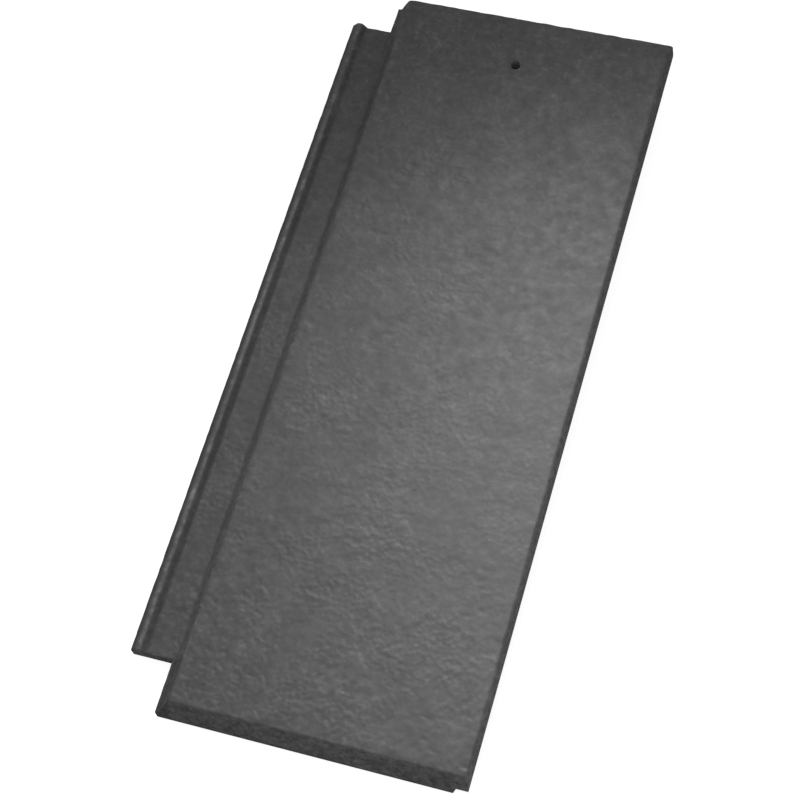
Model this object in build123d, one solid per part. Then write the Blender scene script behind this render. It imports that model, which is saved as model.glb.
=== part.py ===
from build123d import *
import os
from math import asin, atan2, degrees, hypot

# Half-width flat interlocking roof tile, cast in concrete as one piece. Millimetres.
# It is drawn level first: x runs across from the left foot of the face, y runs from the
# tail (the lower, exposed edge on a roof) to the head, and z is up from the underside.
# Then it is tipped to lie on a level floor, on its tail edge and its two hanging nibs.

# Overall
tile_length = 420.0
face_width = 156.0
tile_thickness = 17.5

# Edges of the face: the left flank, the ledge at its foot, the right side, the tail slope
flank_run = 5.6
ledge_width = 1.8
foot_radius = 2.2
side_draft = 2.0
tail_slope_run = 4.3
arris_radius = 1.3

# Underlock along the left side: a flat channel with a bead along its outer edge
underlock_thickness = 6.7
channel_width = 13.6
bead_inner_run = 2.9
bead_top_width = 2.2
bead_outer_run = 3.3
bead_height = 3.3
bead_radius = 1.6
channel_radius = 3.0
underlock_tail_cut = 27.0
underlock_head_cut = 16.0

# Overlock along the right side: it lies over the underlock of the tile beside it
joint_gap = 1.0
side_play = 1.5
lock_clearance = 1.05
rib_width = 6.0
mould_draft = 2.0
groove_radius = 1.0
lap_clearance = 2.0

# Weather bars under the tail, and the shallow pan under the body
underside_depth = 2.5
tail_bar_width = 14.0
weather_groove_width = 10.0
weather_bar_width = 8.0
weather_groove_count = 2
underside_margin = 12.0
pan_corner_radius = 3.0
pan_head_margin = 80.0
underside_taper = 40.0

# Hanging nibs near the head, with a nail hole between them
nib_head_margin = 2.0
nib_drop = 12.0
nib_width = 28.0
nib_root_length = 14.0
nib_tip_length = 9.0
nib_end_draft = 1.5
nib_radius = 2.0
nib_spacing = 76.0
nail_hole_radius = 2.5
nail_hole_from_head = 30.0
nail_hole_from_foot = 76.0

# One overrun carries every cut clear of the faces that it passes through
overrun = 5.0

# Levels and places that follow from the sizes above
underlock_width = channel_width + bead_inner_run + bead_top_width + bead_outer_run
bead_level = underlock_thickness + bead_height
rib_level = underlock_thickness + lock_clearance
groove_level = bead_level + lock_clearance
rib_inner_edge = face_width - rib_width
groove_wall = face_width + joint_gap - underlock_width - side_play
groove_start = underlock_tail_cut - lap_clearance
nib_place = tile_length - nib_head_margin - nib_root_length
nail_hole_place = tile_length - nail_hole_from_head


def run_of_section(outline, radii, tail_end, head_end):
    """A straight run along the tile whose cross section is the outline, given as x and z."""
    section = make_face(FilletPolyline(*outline, radius=radii, close=True))
    run = extrude(Plane.XZ * section, amount=tail_end - head_end)
    return Pos(0, tail_end, 0) * run


def body():
    """The face with its flank and side, full length, down to the rebate under the right side."""
    outline = [
        (0, 0),
        (0, underlock_thickness),
        (ledge_width, underlock_thickness),
        (ledge_width + flank_run, tile_thickness),
        (face_width - side_draft, tile_thickness),
        (face_width, rib_level),
        (rib_inner_edge, rib_level),
        (rib_inner_edge - mould_draft, 0),
    ]
    radii = [0, 0, foot_radius, arris_radius, arris_radius, 0, 0, 0]
    return run_of_section(outline, radii, 0, tile_length)


def underlock():
    """The flange on the left, cut back at both ends so that the laps above and below clear it."""
    outline = [
        (0, 0),
        (0, underlock_thickness),
        (-channel_width, underlock_thickness),
        (-channel_width - bead_inner_run, bead_level),
        (bead_outer_run - underlock_width, bead_level),
        (-underlock_width, underlock_thickness),
        (-underlock_width, 0),
    ]
    radii = [0, 0, channel_radius, bead_radius, bead_radius, bead_radius, 0]
    return run_of_section(outline, radii, underlock_tail_cut, tile_length - underlock_head_cut)


def tail_slope():
    """What is cut away above the sloping tail face, which mitres with the left flank."""
    wedge = make_face(FilletPolyline(
        (-overrun, underlock_thickness),
        (0, underlock_thickness),
        (tail_slope_run, tile_thickness),
        (tail_slope_run + overrun, tile_thickness),
        (tail_slope_run + overrun, tile_thickness + overrun),
        (-overrun, tile_thickness + overrun),
        radius=[0, 0, arris_radius, 0, 0, 0],
        close=True,
    ))
    return Pos(-overrun, 0, 0) * extrude(Plane.YZ * wedge, amount=face_width + overrun + overrun)


def overlock_groove():
    """The hollow under the right side that takes the bead of the tile beside it."""
    outline = [
        (groove_wall - mould_draft, -overrun),
        (groove_wall - mould_draft, 0),
        (groove_wall, groove_level),
        (rib_inner_edge - side_play, groove_level),
        (rib_inner_edge, rib_level),
        (rib_inner_edge, -overrun),
    ]
    radii = [0, 0, groove_radius, groove_radius, 0, 0]
    return run_of_section(outline, radii, groove_start, tile_length + overrun)


def underside_pocket(tail_end, head_end):
    """A shallow recess in the underside with sloping walls, between the two side margins."""
    left = underside_margin
    right = groove_wall - mould_draft - underside_margin
    mouth = RectangleRounded(right - left, head_end - tail_end, pan_corner_radius)
    pocket = extrude(mouth, amount=underside_depth, taper=underside_taper)
    return Pos((left + right) / 2, (tail_end + head_end) / 2, 0) * pocket


def underside_pockets():
    """The grooves that leave the weather bars standing, and the pan behind them."""
    pitch = weather_groove_width + weather_bar_width
    starts = [tail_bar_width + step * pitch for step in range(weather_groove_count)]
    grooves = [underside_pocket(start, start + weather_groove_width) for start in starts]
    pan_start = tail_bar_width + weather_groove_count * pitch
    return grooves + [underside_pocket(pan_start, tile_length - pan_head_margin)]


def nib(centre):
    """A hanging nib: a square face that bears on the batten, a sloping back, drafted ends."""
    profile = make_face(FilletPolyline(
        (nib_place, overrun),
        (nib_place, -nib_drop),
        (nib_place + nib_tip_length, -nib_drop),
        (nib_place + nib_root_length, 0),
        (nib_place + nib_root_length, overrun),
        radius=[0, nib_radius, nib_radius, 0, 0],
        close=True,
    ))
    bar = extrude(Plane.YZ * profile, amount=nib_width)
    ends = [
        (0, overrun),
        (0, 0),
        (nib_end_draft, -nib_drop),
        (nib_width - nib_end_draft, -nib_drop),
        (nib_width, 0),
        (nib_width, overrun),
    ]
    bar &= run_of_section(ends, [0] * len(ends), nib_place, nib_place + nib_root_length)
    return Pos(centre - nib_width / 2, 0, 0) * bar


def nail_hole():
    """The hole for one nail, straight through between the nibs."""
    drill = Cylinder(
        nail_hole_radius,
        tile_thickness + overrun + overrun,
        align=(Align.CENTER, Align.CENTER, Align.MIN),
    )
    return Pos(nail_hole_from_foot, nail_hole_place, -overrun) * drill


def rest_angle():
    """The tip, in degrees, that puts the rounded foot of the nibs level with the tail edge."""
    reach = nib_place + nib_radius
    drop = nib_drop - nib_radius
    return degrees(atan2(drop, reach) + asin(nib_radius / hypot(reach, drop)))


def half_tile():
    """The whole casting, lying on the floor with its origin at the bottom centre of its box."""
    tile = body() + underlock() - tail_slope() - overlock_groove()
    for pocket in underside_pockets():
        tile -= pocket
    for side in (-1, 1):
        tile += nib(nail_hole_from_foot + side * nib_spacing / 2)
    tile -= nail_hole()
    tile = tile.rotate(Axis.X, rest_angle())
    box = tile.bounding_box()
    return Pos(-box.center().X, -box.center().Y, -box.min.Z) * tile


os.makedirs("parts", exist_ok=True)
tile = half_tile()
tile.label = "half_tile"
export_step(tile, "parts/half_tile.step")
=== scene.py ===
import bpy
import math
import numpy as np
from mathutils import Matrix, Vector


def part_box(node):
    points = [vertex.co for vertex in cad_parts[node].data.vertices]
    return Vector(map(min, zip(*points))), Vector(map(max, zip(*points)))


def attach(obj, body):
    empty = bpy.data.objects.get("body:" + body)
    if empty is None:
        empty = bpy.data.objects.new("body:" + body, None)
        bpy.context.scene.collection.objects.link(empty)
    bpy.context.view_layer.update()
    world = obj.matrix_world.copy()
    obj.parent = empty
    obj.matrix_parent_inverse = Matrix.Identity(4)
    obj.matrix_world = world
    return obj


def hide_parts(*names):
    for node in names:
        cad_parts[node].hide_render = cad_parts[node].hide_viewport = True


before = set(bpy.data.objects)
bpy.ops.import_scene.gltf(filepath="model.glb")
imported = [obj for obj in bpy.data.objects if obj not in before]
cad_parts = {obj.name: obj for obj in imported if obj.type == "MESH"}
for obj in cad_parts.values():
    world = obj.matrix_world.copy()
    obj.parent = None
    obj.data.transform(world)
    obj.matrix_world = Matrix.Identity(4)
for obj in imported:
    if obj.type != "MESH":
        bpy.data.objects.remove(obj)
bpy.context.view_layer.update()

# The half tile. One piece of through-coloured charcoal concrete, pressed on a pallet under a
# profiled roller and cut off at the head, so that its face is a little riven and its arrises
# are rounded. It is one closed skin, in millimetres, with the left foot of the face at x = 0.
tile_length = 420.0
face_width = 156.0
tile_thickness = 17.5
underlock_width = 22.0
underlock_thickness = 6.7
underlock_tail = 27.0
underlock_head = 404.0
rib_level = 7.75
tail_slope_run = 4.3
cut_rounding = 0.4
end_rounding = 0.7

# Upper side: the section from the outer face of the bead to half way down the right side,
# carried from the tail to the head. The rows near the tail bend to follow its slope, and the
# underlock's columns are there only between its two ends.
bead_seam_level = 5.0
bead_level = 10.0
bead_top = (-18.7, -16.5)
bead_radius = 1.6
channel_edge = -13.6
channel_radius = 3.0
ledge_width = 1.8
foot_radius = 2.2
flank_run = 5.6
arris_radius = 1.3
side_draft = 1.2
side_seam_level = 12.0
flat_step = 1.22
arc_step = 0.45
tail_steps = [0.3, 0.4, 0.6, 0.9]
lock_steps = [1.0, 0.8]
head_steps = [0.4, 0.7]
least_rise = 0.05


def rounded_path(corners, radii):
    """Points along a polyline with rounded corners. Each corner gives way to the arc that is
    tangent to its two sides, r tan(turn / 2) from the corner, and a point at an angle on it lies
    r sin(angle) forward and r (1 - cos(angle)) to the side. Every flat and arc is divided
    evenly, near its step, and the longest flat takes one part more where their sum is odd."""
    corners = np.array(corners)
    ways = np.diff(corners, axis=0)
    ways /= np.linalg.norm(ways, axis=1)[:, None]
    sides = np.stack([-ways[:, 1], ways[:, 0]], -1)
    turns = np.arctan2((sides[:-1] * ways[1:]).sum(1), (ways[:-1] * ways[1:]).sum(1))
    reaches = np.array(radii) * np.tan(np.abs(turns) / 2)
    starts = np.concatenate([corners[:1], corners[1:-1] + ways[1:] * reaches[:, None]])
    ends = np.concatenate([corners[1:-1] - ways[:-1] * reaches[:, None], corners[-1:]])
    flats = np.linalg.norm(ends - starts, axis=1)
    flat_parts = np.maximum(1, np.round(flats / flat_step)).astype(int)
    arc_parts = np.maximum(1, np.round(np.abs(turns) * radii / arc_step)).astype(int)
    flat_parts[np.argmax(flats)] += (flat_parts.sum() + arc_parts.sum()) % 2
    runs = []
    for n, count in enumerate(flat_parts):
        share = np.arange(count)[:, None] / count
        runs.append(starts[n] + (ends[n] - starts[n]) * share)
        if n < len(turns):
            angle = np.arange(arc_parts[n])[:, None] / arc_parts[n] * abs(turns[n])
            inward = sides[n] * np.sign(turns[n])
            arc = ways[n] * np.sin(angle) + inward * (1 - np.cos(angle))
            runs.append(ends[n] + radii[n] * arc)
    return np.concatenate(runs + [corners[-1:]])


def graded_rows(start, end, edge_steps):
    """Places from start to end, close together at both ends, with an even number of gaps."""
    near = np.cumsum(edge_steps)
    span = end - start - 2 * near[-1]
    count = 2 * max(1, round(span / flat_step / 2))
    middle = start + near[-1] + span * np.arange(1, count) / count
    return np.concatenate([[start], start + near, middle, (end - near)[::-1], [end]])


def tail_face(z):
    """How far the tail face lies from the tail line at a height: nothing up to the top of the
    underlock, then a straight slope back to its run at the level of the face."""
    rise = tile_thickness - underlock_thickness
    return tail_slope_run * np.maximum(0, z - underlock_thickness) / rise


def tail_share(place):
    """How much a row follows the tail: fully at the tail line, and evenly less up to the line
    where the underlock starts."""
    return 1 - np.clip(place / underlock_tail, 0, 1)


side_run = side_draft * (tile_thickness - side_seam_level) / (tile_thickness - rib_level)
foot = (0.0, underlock_thickness)
bead_section = rounded_path(
    [(-underlock_width, bead_seam_level), (-underlock_width, underlock_thickness),
     (bead_top[0], bead_level), (bead_top[1], bead_level), (channel_edge, foot[1]), foot],
    [bead_radius, bead_radius, bead_radius, channel_radius])
face_section = rounded_path(
    [foot, (ledge_width, foot[1]), (ledge_width + flank_run, tile_thickness),
     (face_width - side_draft, tile_thickness),
     (face_width - side_draft + side_run, side_seam_level)],
    [foot_radius, arris_radius, arris_radius])
section = np.concatenate([bead_section[:-1], face_section])
step_column = len(bead_section) - 1
columns = len(section) - 1
tail_rows = graded_rows(0, underlock_tail, tail_steps)
lock_rows = graded_rows(underlock_tail, underlock_head, lock_steps)
head_rows = graded_rows(underlock_head, tile_length - cut_rounding, head_steps)
tail_row = len(tail_rows) - 1
head_row = tail_row + len(lock_rows) - 1
rows = head_row + len(head_rows) - 1
row_places = np.concatenate([tail_rows, lock_rows[1:], head_rows[1:]])

rise_share = (section[:, 1] - underlock_thickness) / (tile_thickness - underlock_thickness)
tail_radius = np.maximum(cut_rounding, arris_radius * rise_share)
slope_angle = math.atan2(tile_thickness - underlock_thickness, tail_slope_run)
tail_turn = np.where(rise_share > least_rise, slope_angle, math.pi / 2)
tail_start = tail_face(section[:, 1]) + tail_radius * np.tan(tail_turn / 2)
top_y = row_places[:, None] + tail_start * tail_share(row_places)[:, None]
row_number, column_number = np.indices(top_y.shape)
lock_column = column_number < step_column
top_y += end_rounding * (lock_column & (row_number == tail_row))
top_y -= end_rounding * (lock_column & (row_number == head_row))
top_x, top_z = (np.broadcast_to(part, top_y.shape) for part in section.T)
on_tile = ~lock_column | ((row_number >= tail_row) & (row_number <= head_row))

# Underside: half as many lines each way, hitting every edge of the shallow pan, the two weather
# grooves, the overlock groove and rib, and the two nibs, with even rows round the nail hole.
wall_lean = 0.1
mould_draft = 2.0
groove_level = 11.05
groove_wall = 133.5
groove_start = 25.0
rib_inner_edge = 150.0
notch = rib_inner_edge - mould_draft
nib_drop = 12.0
nib_root_back = 418.0
nib_tip_back = 413.0
nib_radius = 2.0
nib_end_draft = 1.5
nib_sides = ((24.0, 52.0), (100.0, 128.0))
pocket_sides = (12.0, 119.5)
pocket_rows = ((14.0, 24.0), (32.0, 42.0), (50.0, 340.0))
pocket_depth = 2.5
pocket_wall = 2.1
pocket_corner = 3.0
hole_x = 76.0
hole_y = 390.0
low_hole_block = 4
low_hole_cell = 2.2


def softer_least(a, b, blend):
    """The lesser of two values, with the meeting rounded off over about the blend."""
    return (a + b - np.sqrt((a - b) ** 2 + blend**2)) / 2


def underside_height(x, y):
    """Height of the underside at a place. A pocket's depth grows with the distance inward from
    its rounded outline, the rebate and the overlock groove are straight-line sections across
    the tile, and a nib is the least of its drop, its back slope and its two end slopes, with a
    quarter circle along its front edge."""
    height = np.zeros(np.broadcast(x, y).shape)
    middle = sum(pocket_sides) / 2
    for start, end in pocket_rows:
        past_x = np.abs(x - middle) - (pocket_sides[1] - middle) + pocket_corner
        past_y = np.abs(y - (start + end) / 2) - (end - start) / 2 + pocket_corner
        outward = np.hypot(np.maximum(past_x, 0), np.maximum(past_y, 0))
        inside = pocket_corner - outward - np.minimum(np.maximum(past_x, past_y), 0)
        height = np.maximum(height, pocket_depth * np.clip(inside / pocket_wall, 0, 1))
    rebate = np.interp(x, [notch, rib_inner_edge], [0, rib_level])
    groove_x = [groove_wall - mould_draft, groove_wall, notch, rib_inner_edge]
    groove = np.interp(x, groove_x, [0, groove_level, groove_level, rib_level])
    into_groove = np.clip((y - groove_start) / wall_lean, 0, 1)
    height = np.maximum(height, rebate + (groove - rebate) * into_groove)
    front = (y - underlock_head) * nib_drop / wall_lean
    back = (nib_root_back - y) * nib_drop / (nib_root_back - nib_tip_back)
    drop = np.minimum(front, softer_least(back, nib_drop, nib_radius / 2))
    corner = np.clip(underlock_head + nib_radius - y, 0, nib_radius)
    drop = np.minimum(drop, nib_drop - nib_radius + np.sqrt(nib_radius**2 - corner**2))
    for left, right in nib_sides:
        ends = np.minimum(x - left, right - x) * nib_drop / nib_end_draft
        height = height - np.maximum(0, softer_least(drop, ends, nib_radius / 2))
    return height


def rows_through(stops, count):
    """Places that hit every stop, with a set number of gaps shared out by length."""
    lengths = np.diff(stops)
    parts = np.maximum(1, np.floor(lengths / lengths.sum() * count)).astype(int)
    while parts.sum() != count:
        if parts.sum() < count:
            parts[np.argmax(lengths / parts)] += 1
        else:
            parts[np.argmin(np.where(parts > 1, lengths / parts, np.inf))] -= 1
    runs = [a + (b - a) * np.arange(n) / n for a, b, n in zip(stops[:-1], stops[1:], parts)]
    return np.concatenate(runs + [stops[-1:]])


pocket_tops = (pocket_sides[0] + pocket_wall, pocket_sides[1] - pocket_wall)
nib_tips = [(left + nib_end_draft, right - nib_end_draft) for left, right in nib_sides]
low_stops = np.array(sorted([
    0, *pocket_sides, *pocket_tops, *np.ravel(nib_sides), *np.ravel(nib_tips),
    groove_wall - mould_draft, groove_wall, notch, rib_inner_edge, face_width]))
above = section[step_column::2, 0]
stop_columns = np.abs(above[:, None] - low_stops).argmin(0)
step_on = np.arange(len(low_stops))
stop_columns = np.maximum.accumulate(stop_columns - step_on) + step_on
stop_columns[-1] = len(above) - 1
low_columns = np.concatenate([
    np.linspace(-underlock_width, 0, step_column // 2 + 1)[:-1],
    np.interp(np.arange(len(above)), stop_columns, low_stops)])
pocket_stops = np.ravel([[a, a + pocket_wall, b - pocket_wall, b] for a, b in pocket_rows])
hole_stops = hole_y + low_hole_cell * (np.arange(low_hole_block + 1) - low_hole_block // 2)
low_tail = [0, *pocket_stops[:4], groove_start, groove_start + wall_lean, underlock_tail]
low_lock = [underlock_tail, *pocket_stops[4:], *hole_stops, underlock_head]
low_head = [underlock_head, underlock_head + wall_lean, underlock_head + nib_radius / 3,
            underlock_head + nib_radius, nib_tip_back, nib_root_back, tile_length]
low_rows = np.concatenate([
    rows_through(np.array(low_tail), tail_row // 2)[:-1],
    rows_through(np.array(low_lock), (head_row - tail_row) // 2)[:-1],
    rows_through(np.array(low_head), (rows - head_row) // 2)])
low_x, low_place = np.meshgrid(low_columns, low_rows)
low_z = underside_height(low_x, low_place)
low_y = low_place + tail_face(low_z) * tail_share(low_place)
low_on_tile = on_tile[::2, ::2].copy()

# Outer walls: rings of vertices from the rim of the upper side down. The first round the arris
# over, those below follow the slope of the tail, and triangles join the last to the coarser rim
# of the underside.
arc_rings = 3
slope_rings = 5
foot_rings = 2
slope_foot_shares = (0.35, 0.7)


def rim(rows, columns, step_column, tail_row, head_row):
    """The outline of a grid as row and column numbers, anticlockwise from the left corner of
    the tail, round the two corners where the underlock stops short."""
    across = np.arange(step_column, columns)
    left = np.arange(step_column)
    runs = [
        (0 * across, across),
        (np.arange(rows), np.full(rows, columns)),
        (0 * across + rows, across[::-1] + 1),
        (np.arange(rows, head_row, -1), np.full(rows - head_row, step_column)),
        (0 * left + head_row, left[::-1] + 1),
        (np.arange(head_row, tail_row, -1), np.zeros(head_row - tail_row, int)),
        (0 * left + tail_row, left),
        (np.arange(tail_row, 0, -1), np.full(tail_row, step_column)),
    ]
    return np.concatenate([run[0] for run in runs]), np.concatenate([run[1] for run in runs])


def between(ring):
    """Values of a coarse ring with the mean of each two neighbours put in between them."""
    return np.stack([ring, (ring + np.roll(ring, -1)) / 2], -1).ravel()


ring_rows, ring_columns = rim(rows, columns, step_column, tail_row, head_row)
low_ring = rim(rows // 2, columns // 2, step_column // 2, tail_row // 2, head_row // 2)
rim_top = np.stack([top_x, np.broadcast_to(row_places[:, None], top_x.shape), top_z], -1)
rim_top = rim_top[ring_rows, ring_columns]
rim_low = np.stack([between(part[low_ring]) for part in (low_x, low_place, low_z)], -1)
ring_lock = ring_columns < step_column
at_head = ring_rows == rows
at_lock_head = ring_lock & (ring_rows == head_row)
at_lock_tail = ring_lock & (ring_rows == tail_row)
ring_radius = tail_radius[ring_columns]
ring_turn = tail_turn[ring_columns]
end_radius = np.where(ring_lock, end_rounding, cut_rounding)
arc_foot = rim_top[:, 2] - ring_radius * (1 - np.cos(ring_turn))
wall_height = arc_foot - rim_low[:, 2]
slope_foot = np.clip(underlock_thickness, rim_low[:, 2] + slope_foot_shares[0] * wall_height,
                     rim_low[:, 2] + slope_foot_shares[1] * wall_height)
levels = []
for share in np.arange(1, arc_rings + 1) / arc_rings:
    levels.append((rim_top[:, 2] - ring_radius * (1 - np.cos(ring_turn * share)), share))
for share in np.arange(1, slope_rings + 1) / slope_rings:
    levels.append((arc_foot + (slope_foot - arc_foot) * share, 1.0))
for share in np.arange(1, foot_rings + 1) / (foot_rings + 1):
    levels.append((slope_foot + (rim_low[:, 2] - slope_foot) * share, 1.0))
wall_rings = []
for height, share in levels:
    down = (rim_top[:, 2] - height) / (rim_top[:, 2] - rim_low[:, 2])
    ring = rim_top + (rim_low - rim_top) * down[:, None]
    angle = ring_turn * share
    # How far the rounded arris lies behind the sloping face at the same height, in radii.
    inset = np.tan(ring_turn / 2) - np.sin(angle) + (1 - np.cos(angle)) / np.tan(ring_turn)
    start = tail_face(height) + ring_radius * inset
    end_inset = end_radius * (1 - np.sin(math.pi / 2 * share))
    y = ring[:, 1] + start * np.where(ring_lock, 0, tail_share(ring[:, 1]))
    y = np.where(at_head, tile_length - end_inset, y)
    y = np.where(at_lock_head, underlock_head - end_inset, y)
    y = np.where(at_lock_tail, underlock_tail + end_inset, y)
    wall_rings.append(np.stack([ring[:, 0], y, height], -1))

# Nail hole: both grids leave out a block of cells, and rings of vertices join the block's
# outline to the bore. Each ring has its own allowance over the bore and its own depth, so the
# edge at the face comes out worn.
hole_radius = 2.5
mouth_rings = ((0.8, 0.0), (0.35, 0.08), (0.1, 0.3), (0.0, 0.7))
bore_rings = ((0.0, 5.5), (0.0, 11.5), (0.0, tile_thickness))
hole_block = 2 * low_hole_block


def block_rim(row, column, size):
    """The outline of a square block of cells as row and column numbers, anticlockwise."""
    run = np.arange(size)
    still = np.zeros(size, int)
    rows = np.concatenate([still, run, still + size, size - run])
    columns = np.concatenate([run, still + size, size - run, still])
    return row + rows, column + columns


def clear_block(used, row, column, size):
    """Takes the vertices inside a square block of cells out of use."""
    used[row + 1:row + size, column + 1:column + size] = False


hole_column = np.argmin(np.abs(section[:, 0] - hole_x)) - hole_block // 2
hole_row = np.argmin(np.abs(row_places - hole_y)) - hole_block // 2
low_hole_column = np.argmin(np.abs(low_columns - hole_x)) - low_hole_block // 2
low_hole_row = np.argmin(np.abs(low_rows - hole_y)) - low_hole_block // 2
hole_loop = block_rim(hole_row, hole_column, hole_block)
low_hole_loop = block_rim(low_hole_row, low_hole_column, low_hole_block)
clear_block(on_tile, hole_row, hole_column, hole_block)
clear_block(low_on_tile, low_hole_row, low_hole_column, low_hole_block)
hole_angle = np.arctan2(top_y[hole_loop] - hole_y, top_x[hole_loop] - hole_x)
hole_rings = []
for allowance, depth in (*mouth_rings, *bore_rings):
    hole_rings.append(np.stack([hole_x + (hole_radius + allowance) * np.cos(hole_angle),
                                hole_y + (hole_radius + allowance) * np.sin(hole_angle),
                                np.full(len(hole_angle), tile_thickness - depth)], -1))


def ring_numbers(first, rings):
    """Vertex numbers for a stack of equal rings, counted on from the first number."""
    count = len(rings) * len(rings[0])
    return first + np.arange(count).reshape(len(rings), -1)


def grid_faces(numbers):
    """Four-sided faces between neighbours in a grid of vertex numbers, seen from above, without
    those that have a corner numbered below zero."""
    corners = [numbers[:-1, :-1], numbers[:-1, 1:], numbers[1:, 1:], numbers[1:, :-1]]
    quads = np.stack(corners, -1).reshape(-1, 4)
    return quads[(quads >= 0).all(1)]


def band_faces(low, high):
    """Four-sided faces between two closed rings of vertices, facing away from their middle."""
    return np.stack([low, np.roll(low, -1), np.roll(high, -1), high], -1)


def zip_faces(low, high):
    """Triangles between two closed rings, where the high one has two vertices for each one of
    the low one, facing away from their middle."""
    first, middle, last = high[0::2], high[1::2], np.roll(high[0::2], -1)
    after = np.roll(low, -1)
    fans = [(low, middle, first), (low, after, middle), (after, last, middle)]
    return np.concatenate([np.stack(fan, -1) for fan in fans])


# All vertices are numbered in one list: the upper side, the underside, the walls, the bore.
top_count = on_tile.sum()
low_count = low_on_tile.sum()
top_numbers = np.where(on_tile, np.cumsum(on_tile).reshape(on_tile.shape) - 1, -1)
low_order = np.cumsum(low_on_tile).reshape(low_on_tile.shape)
low_numbers = np.where(low_on_tile, top_count + low_order - 1, -1)
wall_numbers = ring_numbers(top_count + low_count, wall_rings)
bore_numbers = ring_numbers(top_count + low_count + wall_numbers.size, hole_rings)
vertices = np.concatenate([
    np.stack([top_x, top_y, top_z], -1)[on_tile],
    np.stack([low_x, low_y, low_z], -1)[low_on_tile],
    *wall_rings, *hole_rings])
quads = [grid_faces(top_numbers), grid_faces(low_numbers)[:, ::-1]]
walls = [top_numbers[ring_rows, ring_columns], *wall_numbers]
quads += [band_faces(low, high) for high, low in zip(walls[:-1], walls[1:])]
bore = [top_numbers[hole_loop], *bore_numbers]
quads += [band_faces(outer, inner) for outer, inner in zip(bore[:-1], bore[1:])]
triangles = [zip_faces(low_numbers[low_ring], walls[-1]),
             zip_faces(low_numbers[low_hole_loop], bore[-1])[:, ::-1]]
quads = np.concatenate(quads)
triangles = np.concatenate(triangles)

# Relief and wear. The roller leaves a low riven relief in patches, calmest a little above the
# middle and to the right, with short nicks across the tile. Handling wears and chips each
# arris, which is pushed in its own way by an amount that falls off as a bell curve round it.
riven_height = 0.13
riven_cell = (4.4, 4.6, 4.4)
fine_height = 0.11
fine_cell = (2.7, 2.8, 2.7)
roll_height = 0.10
roll_cell = (16, 12, 16)
nick_depth = 0.2
nick_cell = (5.5, 2.6, 5.5)
nick_range = (0.5, 0.72)
sway_width = 0.14
sway_cell = (4.6, 4.6, 4.6)
patch_cell = (30, 24, 30)
patch_range = (-0.4, 0.4)
patch_least = 0.35
calm_place = 235.0
calm_reach = 185.0
calm_riven = 0.75
end_riven = 0.85
head_riven = 0.15
left_riven = 0.4
smooth_round_hole = (3.0, 5.0)
wear_depth = 0.34
handled_cell = (9, 11, 9)
handled_range = (-0.5, 0.8)
chip_depth = 0.8
chip_cell = (3.4, 4.2, 3.4)
chip_range = (0.42, 0.7)
arris_reach = 1.7
narrow_side = 1.3
narrow_end = 1.6
flank_wear = (0.5, 0.0, -0.85)
flank_wear_lost = 1.4
flank_wear_rows = (30, 18)
side_wear = (-0.3, 0.0, -0.4)
tail_wear = (0.0, 0.85, -1.0)
head_wear = (0.0, -0.35, -0.5)
bead_wear = (0.0, 0.0, -0.5)
mitre_wear = (0.25, 0.25, -0.3)
far_off = 9.0
corner_burr = 1.0
burr_reach = 6.0
burr_columns = (151, 154)


def coherent_noise(places, cell, seed):
    """Smooth noise of about -1 to 1. Each corner of a lattice of cells gets a direction from a
    hash of its number. The value is the dot product of that direction with the offset from the
    corner, blended over the eight corners by 6t^5 - 15t^4 + 10t^3 along each side."""
    word = np.uint64(0xFFFFFFFF)
    ten_bits = np.uint64(1023)
    half_range = 511.5
    lattice_primes = np.array([73856093, 19349663, 83492791])
    seed_step = 40503
    hash_steps = ((15, 2246822519), (13, 3266489917), (16, 1))
    gain = 1.6
    scaled = places / np.array(cell)
    base = np.floor(scaled).astype(np.int64)
    offset = scaled - base
    fade = offset**3 * (offset * (offset * 6 - 15) + 10)
    total = np.zeros(len(places))
    for corner in np.ndindex(2, 2, 2):
        mixed = (base + corner) @ lattice_primes + seed * seed_step
        mixed = mixed.astype(np.uint64) & word
        for shift, factor in hash_steps:
            mixed = (mixed ^ (mixed >> np.uint64(shift))) * np.uint64(factor)
            mixed &= word
        bits = np.stack([mixed, mixed >> np.uint64(10), mixed >> np.uint64(20)], -1)
        way = (bits & ten_bits) / half_range - 1
        weight = np.where(corner, fade, 1 - fade).prod(1)
        total += weight * (way * (offset - corner)).sum(1)
    return np.clip(total * gain, -1, 1)


def ease(values, low, high):
    """A smooth step from 0 at the low value to 1 at the high one: 3t^2 - 2t^3."""
    t = np.clip((values - low) / (high - low), 0, 1)
    return t * t * (3 - 2 * t)


def bell(distance, reach):
    """A bell curve: e to the power of minus the square of the distance over the reach."""
    return np.exp(-(distance / reach) ** 2)


# The underside lay on the pallet, so it has neither relief nor wear, and the hole has neither.
x, y, z = vertices.T
open_side = ease(np.hypot(x - hole_x, y - hole_y), *smooth_round_hole)
open_side[top_count:top_count + low_count] = 0
open_side[bore_numbers.ravel()] = 0
patches = ease(coherent_noise(vertices, patch_cell, seed=3), *patch_range)
patches = patch_least + (1 - patch_least) * patches
riven = coherent_noise(vertices, riven_cell, seed=11)
fine = coherent_noise(vertices, fine_cell, seed=12)
roll = coherent_noise(vertices, roll_cell, seed=13)
nicks = ease(coherent_noise(vertices, nick_cell, seed=14), *nick_range)
along = (y - calm_place) / calm_reach
across = (x - face_width / 2) / (face_width / 2)
rivenness = calm_riven + end_riven * along**2 + head_riven * along**3 - left_riven * across
relief = rivenness * patches * (riven_height * riven + fine_height * fine - nick_depth * nicks)
relief += roll_height * roll
sway = [sway_width * coherent_noise(vertices, sway_cell, seed) for seed in (15, 16)]
push = np.stack([*sway, relief], -1)

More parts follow.
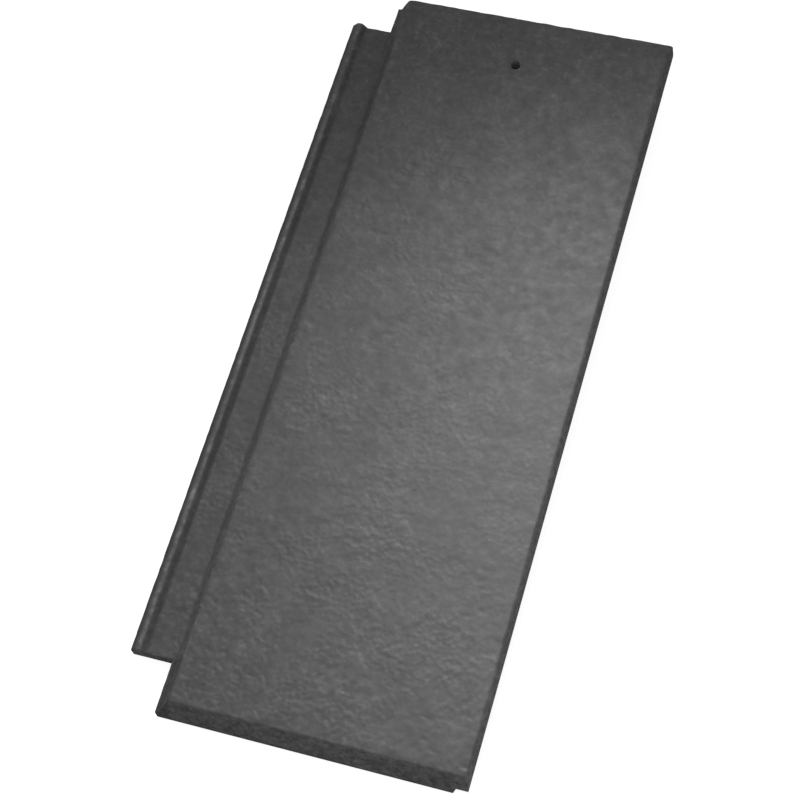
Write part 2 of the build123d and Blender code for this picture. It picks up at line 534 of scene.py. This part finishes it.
# The burr at the head's right corner, and how far each vertex is from each arris. A factor over
# one narrows an arris, and far_off keeps the tail's and the head's wear off the underlock.
flank_top = ledge_width + flank_run
side_top = face_width - side_draft
burr_share = np.clip((z - rib_level) / (tile_thickness - rib_level), 0, 1)
push[:, 0] += corner_burr * bell(y - tile_length, burr_reach) * ease(x, *burr_columns) * burr_share
off_face = far_off * (x <= ledge_width)
mitre_foot = np.array([0.0, 0.0, underlock_thickness])
mitre_rise = np.array([flank_top, tail_slope_run, tile_thickness - underlock_thickness])
mitre_share = np.clip((vertices - mitre_foot) @ mitre_rise / (mitre_rise @ mitre_rise), 0, 1)
from_mitre = np.linalg.norm(vertices - mitre_foot - mitre_share[:, None] * mitre_rise, axis=1)
from_flank = (np.hypot(x - flank_top, z - tile_thickness)
              + flank_wear_lost * ease(y, *flank_wear_rows))
from_side = narrow_side * np.hypot(x - side_top, z - tile_thickness)
from_tail = np.hypot(y - tail_slope_run, z - tile_thickness) + off_face
from_head = narrow_end * np.hypot(y - tile_length, z - tile_thickness) + off_face
from_bead = narrow_end * np.hypot(x - sum(bead_top) / 2, z - bead_level)
arrises = [(from_flank, flank_wear), (from_side, side_wear), (from_tail, tail_wear),
           (from_head, head_wear), (from_bead, bead_wear), (from_mitre, mitre_wear)]
handled = ease(coherent_noise(vertices, handled_cell, seed=21), *handled_range)
chipped = ease(coherent_noise(vertices, chip_cell, seed=22), *chip_range)
worn = np.zeros(len(vertices))
for away, way in arrises:
    near = bell(away, arris_reach)
    amount = near * handled * (wear_depth + chip_depth * chipped)
    push += amount[:, None] * np.array(way)
    worn = np.maximum(worn, near)

# Values that the finish follows: the satin coat where the surface faces up, a painted highlight
# on the bead's crown and painted shade at its foot, painted shade on the left flank beside the
# cut-back underlock, up towards the head and on the mitre, painted light on the wall of the bore,
# the rows near the head, and the relief, for painted shading that lightens its crests and darkens
# its hollows.
coat_tilt = (0.25, 0.8)
# Painted highlight along the bead's crown.
crown_reach = 1.1
crown_depth = 1.0
# Painted shade along the outer foot of the bead.
bead_foot_painted_shade = -20.9
bead_foot_reach = 1.3
bead_foot_lowest = 5.5
open_flank_painted_shade = 1.35
open_flank_rows = (underlock_tail + 2, underlock_tail - 2)
open_flank_columns = (flank_top + 1.2, flank_top - 0.3)
upper_flank_painted_shade = 0.6
upper_flank_rows = (240, 400)
upper_flank_columns = (flank_top + 0.5, flank_top - 2)
mitre_painted_shade = 0.4
mitre_reach = 1.3
flank_leftmost = -0.5
flank_lowest = 1.0
open_flank_unworn = 0.9
# Painted shading of the relief: the finish is lighter on its crests and darker in its hollows.
riven_painted_shade = 0.5
fine_painted_shade = 0.4
roll_painted_shade = 0.35
head_tone_rows = (280, 400)


def outward_normals(points, quads, triangles):
    """Each vertex's normal as the sum of its faces' cross products of their diagonals, or of
    two sides for a triangle, made one long."""
    total = np.zeros_like(points)
    for faces, ends in ((quads, (0, 2, 1, 3)), (triangles, (0, 1, 0, 2))):
        corners = points[faces]
        first = corners[:, ends[1]] - corners[:, ends[0]]
        second = corners[:, ends[3]] - corners[:, ends[2]]
        normal = np.cross(first, second)
        for axis in range(3):
            total[:, axis] += np.bincount(
                faces.ravel(), np.repeat(normal[:, axis], faces.shape[1]), len(points))
    return total / np.linalg.norm(total, axis=1)[:, None]


normals = outward_normals(vertices, quads, triangles)
vertices = vertices + push * open_side[:, None]
x, y, z = vertices.T
# Painted shade: the left flank is darkened beside the cut-back underlock, up towards the head and
# along the mitre.
open_flank = ease(y, *open_flank_rows) * ease(x, *open_flank_columns)
upper_flank = ease(y, *upper_flank_rows) * ease(x, *upper_flank_columns)
flank_painted_shade = (open_flank_painted_shade * open_flank + upper_flank_painted_shade * upper_flank
              + mitre_painted_shade * bell(from_mitre, mitre_reach))
# Painted light on the wall of the bore, whose tone the finish raises up to threefold.
bore_painted_light = np.zeros(len(vertices))
bore_painted_light[bore_numbers[len(mouth_rings):-1].ravel()] = 1
finish_values = {
    "painted_flank_shade": np.where((z > flank_lowest) & (x > flank_leftmost), flank_painted_shade, 0),
    "near_head": ease(y, *head_tone_rows),
    "bore_painted_light": bore_painted_light,
    "outside": open_side,
    "rivenness": rivenness,
    "face_coat": ease(normals[:, 2], *coat_tilt) * open_side,
    "worn_arris": worn * (1 - open_flank_unworn * open_flank),
    "painted_crown_highlight": bell(x - sum(bead_top) / 2, crown_reach) * (z > bead_level - crown_depth),
    "bead_foot_painted_shade": bell(x - bead_foot_painted_shade, bead_foot_reach) * (z > bead_foot_lowest),
    "relief": riven_painted_shade * riven + fine_painted_shade * fine + roll_painted_shade * roll,
}

# At rest the tile lies on the lower edge of its tail and on its two nibs: it is turned about
# the tail until the rounded nibs touch the floor, and stands in the middle of its box.
sharp_angle = 50
nib_reach = underlock_head + nib_radius
nib_rise = nib_drop - nib_radius
rest_angle = math.atan2(nib_rise, nib_reach) + math.asin(nib_radius / math.hypot(nib_rise, nib_reach))
cosine = math.cos(rest_angle)
sine = math.sin(rest_angle)
lowest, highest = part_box("half_tile")
placed = np.stack([x + underlock_width + 1000 * lowest.x,
                   y * cosine - z * sine + underlock_thickness * sine + 1000 * lowest.y,
                   y * sine + z * cosine], -1) / 1000
placed = np.clip(placed, lowest, highest)
mesh = bpy.data.meshes.new("half_tile_skin")
mesh.from_pydata(placed.tolist(), [], quads.tolist() + triangles.tolist())
mesh.update()
mesh.shade_smooth()
mesh.set_sharp_from_angle(angle=math.radians(sharp_angle))
for name, values in finish_values.items():
    layer = mesh.attributes.new(name, "FLOAT", "POINT")
    layer.data.foreach_set("value", values.astype(np.float32))
tile = bpy.data.objects.new("half_tile_concrete", mesh)
bpy.context.collection.objects.link(tile)

# Concrete finish: through-coloured charcoal, satin on the face and matt where it was cut or
# lay on the pallet. Its tone drifts in soft patches, with grains of sand and small dark pores,
# and it carries painted highlights, painted shade and painted light in the bore.
face_grey = 0.0752
raw_grey = 0.097
face_roughness = 0.5
raw_roughness = 0.82
bump_height = 0.000088
grain_share = 0.35
concrete = bpy.data.materials.new("charcoal_concrete")
concrete.use_nodes = True
nodes, links = concrete.node_tree.nodes, concrete.node_tree.links
shader = nodes["Principled BSDF"]
place = nodes.new("ShaderNodeTexCoord").outputs["Object"]


def noise(cells, detail, roughness=0.55):
    """A noise texture on the piece's own coordinates, in cells to the metre."""
    node = nodes.new("ShaderNodeTexNoise")
    node.inputs["Scale"].default_value = cells
    node.inputs["Detail"].default_value = detail
    node.inputs["Roughness"].default_value = roughness
    links.new(place, node.inputs["Vector"])
    return node.outputs["Fac"]


def ramp(value, start, end, low, high):
    """A value carried from the range start to end on to the range low to high, and held there."""
    node = nodes.new("ShaderNodeMapRange")
    for name, number in (("From Min", start), ("From Max", end), ("To Min", low), ("To Max", high)):
        node.inputs[name].default_value = number
    links.new(value, node.inputs["Value"])
    return node.outputs["Result"]


def combine(operation, a, b):
    """Two values, or a value and a number, put together by an operation."""
    node = nodes.new("ShaderNodeMath")
    node.operation = operation
    for socket, part in zip(node.inputs, (a, b)):
        if isinstance(part, (int, float)):
            socket.default_value = part
        else:
            links.new(part, socket)
    return node.outputs["Value"]


def product(*parts):
    """Several values, or values and numbers, multiplied together."""
    total = parts[0]
    for part in parts[1:]:
        total = combine("MULTIPLY", total, part)
    return total


def lightened(share):
    """A factor of one plus a share."""
    return combine("ADD", share, 1.0)


def attribute(name):
    """One of the mesh's own values."""
    node = nodes.new("ShaderNodeAttribute")
    node.attribute_name = name
    return node.outputs["Fac"]


def following(name, low, high, start=0.0, end=1.0):
    """A factor that goes from low to high as one of the mesh's own values goes up."""
    return ramp(attribute(name), start, end, low, high)


coat = attribute("face_coat")
drift = ramp(noise(cells=42, detail=3), start=0.35, end=0.65, low=0.93, high=1.07)
cloud = ramp(noise(cells=95, detail=2), start=0.3, end=0.7, low=0.9, high=1.1)
mottle = ramp(noise(cells=230, detail=3), start=0.3, end=0.7, low=-0.1, high=0.1)
mottle = product(mottle, following("near_head", low=1.0, high=1.6))
sand = ramp(noise(cells=2400, detail=3, roughness=0.7), start=0.3, end=0.7, low=0.82, high=1.18)
pores = ramp(noise(cells=430, detail=1), start=0.62, end=0.76, low=1.0, high=0.84)
specks = ramp(noise(cells=290, detail=1), start=0.56, end=0.74, low=0.0, high=1.0)
specks = product(specks, following("near_head", low=0.16, high=0.4))
flecks = ramp(noise(cells=330, detail=3), start=0.5, end=0.62, low=0.0, high=0.3)
flecks = product(flecks, attribute("worn_arris"))
pebble_patch = ramp(noise(cells=36, detail=2), start=0.38, end=0.6, low=0.25, high=1.0)
pebble = ramp(noise(cells=400, detail=0), start=0.35, end=0.8, low=0.0, high=1.0)
pebble = product(pebble, pebble_patch, attribute("rivenness"))
stipple = ramp(noise(cells=380, detail=4, roughness=0.65), start=0.3, end=0.7, low=-0.42, high=0.42)
raw = product(ramp(coat, start=0, end=0.9, low=1.0, high=0.0),
              following("outside", low=0.6, high=1.35))
# Painted highlight: the bead's crown is lightened in broken dashes.
crown_highlight_dashes = ramp(noise(cells=170, detail=2), start=0.4, end=0.62, low=0.1, high=1.0)
crown_highlight_dashes = product(crown_highlight_dashes, attribute("painted_crown_highlight"))
tone = product(
    drift, cloud, sand, pores, lightened(mottle), lightened(specks), lightened(flecks),
    lightened(product(stipple, raw)), lightened(crown_highlight_dashes),
    # painted shading of the pebbles and the relief: lighter on crests, darker in hollows
    ramp(pebble, start=0, end=1, low=0.96, high=1.14),
    following("relief", low=0.9, high=1.12, start=-1),
    # painted shade on the left flank and at the bead's foot
    following("painted_flank_shade", low=1.0, high=0.46, end=2),
    following("bead_foot_painted_shade", low=1.0, high=0.45),
    # painted light on the bore's wall
    following("bore_painted_light", low=1.0, high=3.0))
grey = product(ramp(coat, start=0, end=1, low=raw_grey, high=face_grey), tone)
colour = nodes.new("ShaderNodeCombineColor")
for socket in colour.inputs:
    links.new(grey, socket)
links.new(colour.outputs["Color"], shader.inputs["Base Color"])
satin = ramp(coat, start=0, end=1, low=raw_roughness, high=face_roughness)
smears = ramp(noise(cells=160, detail=3), start=0.3, end=0.7, low=-0.05, high=0.05)
links.new(combine("ADD", satin, smears), shader.inputs["Roughness"])
grain = product(noise(cells=2200, detail=2, roughness=0.6), grain_share)
bump = nodes.new("ShaderNodeBump")
bump.inputs["Strength"].default_value = 1.0
bump.inputs["Distance"].default_value = bump_height
links.new(combine("ADD", pebble, grain), bump.inputs["Height"])
links.new(bump.outputs["Normal"], shader.inputs["Normal"])
mesh.materials.append(concrete)
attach(tile, "root")
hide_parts("half_tile")

# Floor. A plain matt white studio table, wide enough to fill every view. It also lights the
# sides of the tile from below, and it is lifted to white only where the camera sees it directly.
floor_reach = 3.0
floor_grey = 0.55
floor_lift = 0.85
floor_mesh = bpy.data.meshes.new("floor")
floor_mesh.from_pydata([(-floor_reach, -floor_reach, 0), (floor_reach, -floor_reach, 0),
                        (floor_reach, floor_reach, 0), (-floor_reach, floor_reach, 0)],
                       [], [(0, 1, 2, 3)])
floor = bpy.data.objects.new("floor", floor_mesh)
bpy.context.collection.objects.link(floor)
floor_paint = bpy.data.materials.new("matt_white_floor")
floor_paint.use_nodes = True
floor_nodes, floor_links = floor_paint.node_tree.nodes, floor_paint.node_tree.links
floor_shader = floor_nodes["Principled BSDF"]
floor_shader.inputs["Base Color"].default_value = (floor_grey, floor_grey, floor_grey, 1)
floor_shader.inputs["Roughness"].default_value = 1.0
floor_shader.inputs["Specular IOR Level"].default_value = 0.0
floor_shader.inputs["Emission Strength"].default_value = 1.0
floor_paths = floor_nodes.new("ShaderNodeLightPath")
floor_glow = floor_nodes.new("ShaderNodeMath")
floor_glow.operation = "MULTIPLY"
floor_glow.inputs[1].default_value = floor_lift
floor_links.new(floor_paths.outputs["Is Camera Ray"], floor_glow.inputs[0])
floor_links.new(floor_glow.outputs["Value"], floor_shader.inputs["Emission Color"])
floor_mesh.materials.append(floor_paint)

# Light. One soft panel beyond the head, gridded so that its beam falls off round the right of
# the face, and an even white room that fills the shadows and looks plain white to the camera.
panel_place = Vector((-0.107, 0.773, 1.083))
panel_aim = Vector((0.121, -0.155, 0.020))
panel_width = 0.1
panel_spread = 24.2
panel_power = 0.3085
room_light = 0.45
room_seen = 1.0
lamp = bpy.data.lights.new("gridded_panel", "AREA")
lamp.shape = "SQUARE"
lamp.size = panel_width
lamp.spread = math.radians(panel_spread)
lamp.energy = panel_power
holder = bpy.data.objects.new("gridded_panel", lamp)
holder.location = panel_place
holder.rotation_euler = (panel_aim - panel_place).to_track_quat("-Z", "Y").to_euler()
bpy.context.collection.objects.link(holder)
room = bpy.data.worlds.new("studio")
room.use_nodes = True
room_nodes, room_links = room.node_tree.nodes, room.node_tree.links
room_nodes["Background"].inputs["Color"].default_value = (1, 1, 1, 1)
room_paths = room_nodes.new("ShaderNodeLightPath")
room_level = room_nodes.new("ShaderNodeMapRange")
room_level.inputs["To Min"].default_value = room_light
room_level.inputs["To Max"].default_value = room_seen
room_links.new(room_paths.outputs["Is Camera Ray"], room_level.inputs["Value"])
room_links.new(room_level.outputs["Result"], room_nodes["Background"].inputs["Strength"])
bpy.context.scene.world = room
bpy.context.scene.view_settings.view_transform = "Standard"

# Camera. A long lens high over the right of the tail, looking down the face and turned so that
# the tile leans to the left in the frame, with its head at the top.
lens_length = 92.523
camera_place = (0.21852, -0.46097, 0.93373)
camera_turn = (27.4754, 5.2563, 16.3753)
lens = bpy.data.cameras.new("camera")
lens.lens = lens_length
camera = bpy.data.objects.new("camera", lens)
camera.location = camera_place
camera.rotation_euler = [math.radians(angle) for angle in camera_turn]
bpy.context.collection.objects.link(camera)
bpy.context.scene.camera = camera
